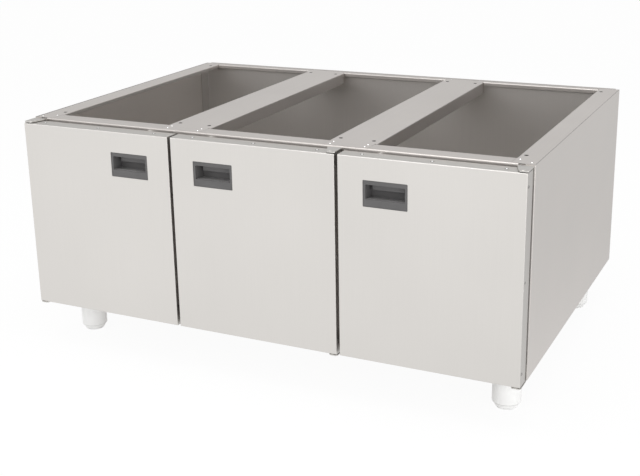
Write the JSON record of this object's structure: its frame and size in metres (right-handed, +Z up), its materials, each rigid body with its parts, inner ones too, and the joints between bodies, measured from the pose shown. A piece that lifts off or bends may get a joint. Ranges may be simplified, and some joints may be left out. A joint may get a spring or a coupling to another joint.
{
  "type": "commercial kitchen base cabinet",
  "caption": "Low stainless steel base cabinet for a modular cooking line, with an open top under cross beams, hinged doors with recessed grips and height-adjustable feet.",
  "frame": {"origin": "on the floor under the middle of the cabinet's bounding box", "axes": "+X along the front to the right as seen from the front, +Y towards the back, +Z up; the doors face -Y"},
  "size_m": [1.2, 0.842, 0.555],
  "materials": {
    "satin_stainless": "satin",
    "door_stainless": "satin",
    "bracket_steel": "satin",
    "plated_steel": "bright",
    "grip_plastic": "matte",
    "nylon": "matte",
    "foot_plastic": "satin"
  },
  "bodies": {
    "carcass": {"side_panel_left": "satin_stainless", "side_panel_right": "satin_stainless", "side_frame_left": "satin_stainless", "side_frame_right": "satin_stainless", "base_tray": "satin_stainless", "front_top_rail": "satin_stainless", "rear_top_rail": "satin_stainless", "rear_liner": "satin_stainless", "rear_cover": "satin_stainless", "cross_beam_left": "satin_stainless", "cross_beam_right": "satin_stainless", "foot_channel_left": "satin_stainless", "foot_channel_right": "satin_stainless", "hinge_bracket_top_1": "bracket_steel", "hinge_bracket_top_2": "bracket_steel", "hinge_bracket_top_3": "bracket_steel", "hinge_bracket_bottom_1": "bracket_steel", "hinge_bracket_bottom_2": "bracket_steel", "hinge_bracket_bottom_3": "bracket_steel", "hinge_pins": "plated_steel", "hinge_screws": "plated_steel", "pot_magnet_1": "plated_steel", "pot_magnet_2": "plated_steel", "pot_magnet_3": "plated_steel", "magnet_screws": "plated_steel", "top_rivets": "plated_steel", "foot_bolts": "plated_steel", "foot_socket_front_left": "foot_plastic", "foot_socket_front_right": "foot_plastic", "foot_socket_rear_left": "foot_plastic", "foot_socket_rear_right": "foot_plastic"},
    "door_1": {"door_skin_1": "door_stainless", "door_liner_1": "door_stainless", "grip_1": "grip_plastic", "hinge_block_top_1": "nylon", "hinge_block_bottom_1": "nylon", "strike_plate_1": "plated_steel", "door_rivets_1": "plated_steel", "block_screws_1": "plated_steel"},
    "door_2": {"door_skin_2": "door_stainless", "door_liner_2": "door_stainless", "grip_2": "grip_plastic", "hinge_block_top_2": "nylon", "hinge_block_bottom_2": "nylon", "strike_plate_2": "plated_steel", "door_rivets_2": "plated_steel", "block_screws_2": "plated_steel"},
    "door_3": {"door_skin_3": "door_stainless", "door_liner_3": "door_stainless", "grip_3": "grip_plastic", "hinge_block_top_3": "nylon", "hinge_block_bottom_3": "nylon", "strike_plate_3": "plated_steel", "door_rivets_3": "plated_steel", "block_screws_3": "plated_steel"},
    "foot_front_left": {"foot_adjuster_front_left": "foot_plastic"},
    "foot_front_right": {"foot_adjuster_front_right": "foot_plastic"},
    "foot_rear_left": {"foot_adjuster_rear_left": "foot_plastic"},
    "foot_rear_right": {"foot_adjuster_rear_right": "foot_plastic"}
  },
  "joints": [
    {"name": "door_1_hinge", "type": "hinge", "parent": "carcass", "child": "door_1", "pos_m": [-0.585, -0.413, 0.3], "axis": [0, 0, 1], "range_deg": [-110, 0]},
    {"name": "door_2_hinge", "type": "hinge", "parent": "carcass", "child": "door_2", "pos_m": [0.18467, -0.413, 0.3], "axis": [0, 0, 1], "range_deg": [0, 110]},
    {"name": "door_3_hinge", "type": "hinge", "parent": "carcass", "child": "door_3", "pos_m": [0.585, -0.413, 0.3], "axis": [0, 0, 1], "range_deg": [0, 110]},
    {"name": "foot_front_left_slide", "type": "slide", "parent": "carcass", "child": "foot_front_left", "axis": [0, 0, -1], "range_m": [0, 0.03]},
    {"name": "foot_front_right_slide", "type": "slide", "parent": "carcass", "child": "foot_front_right", "axis": [0, 0, -1], "range_m": [0, 0.03]},
    {"name": "foot_rear_left_slide", "type": "slide", "parent": "carcass", "child": "foot_rear_left", "axis": [0, 0, -1], "range_m": [0, 0.03]},
    {"name": "foot_rear_right_slide", "type": "slide", "parent": "carcass", "child": "foot_rear_right", "axis": [0, 0, -1], "range_m": [0, 0.03]}
  ]
}
